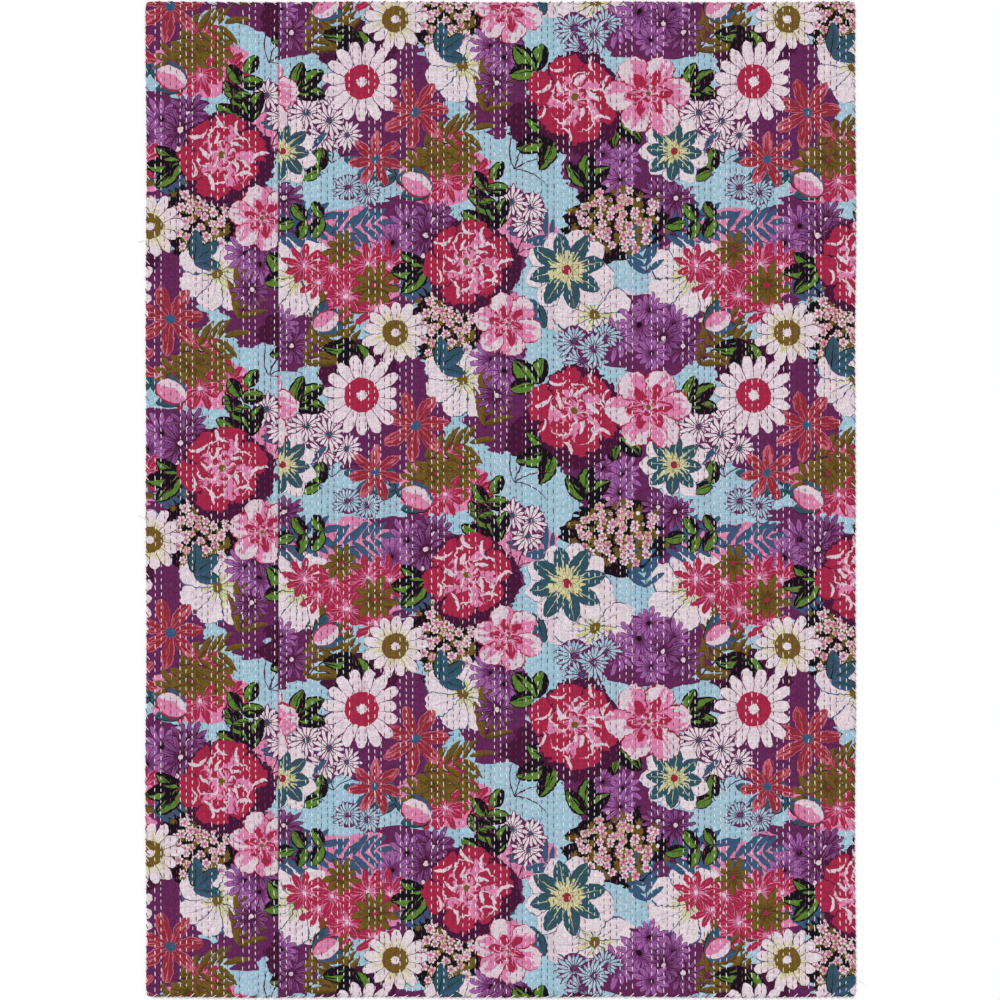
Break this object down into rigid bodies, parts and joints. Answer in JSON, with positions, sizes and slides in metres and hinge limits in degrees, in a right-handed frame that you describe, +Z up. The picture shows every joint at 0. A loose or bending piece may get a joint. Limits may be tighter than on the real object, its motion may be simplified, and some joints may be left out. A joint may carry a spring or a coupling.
{
  "type": "quilted coverlet",
  "caption": "Flat cotton coverlet of two printed panels joined by a lengthwise seam, quilted with lengthwise rows of hand running stitch.",
  "frame": {"origin": "on the surface the coverlet lies on, below the middle of its outline", "axes": "+Z up out of the printed face, +Y along the length, +X across the width away from the narrow panel"},
  "size_m": [1.27, 1.78, 0.0034],
  "materials": {
    "printed_cotton_narrow": "matte plain-weave cotton with a dense printed floral",
    "printed_cotton_wide": "matte plain-weave cotton with a dense printed floral",
    "cream_thread": "soft two-ply cotton thread",
    "plum_thread": "soft two-ply cotton thread"
  },
  "bodies": {
    "root": {"panel_narrow": "printed_cotton_narrow", "panel_wide": "printed_cotton_wide"}
  },
  "joints": []
}
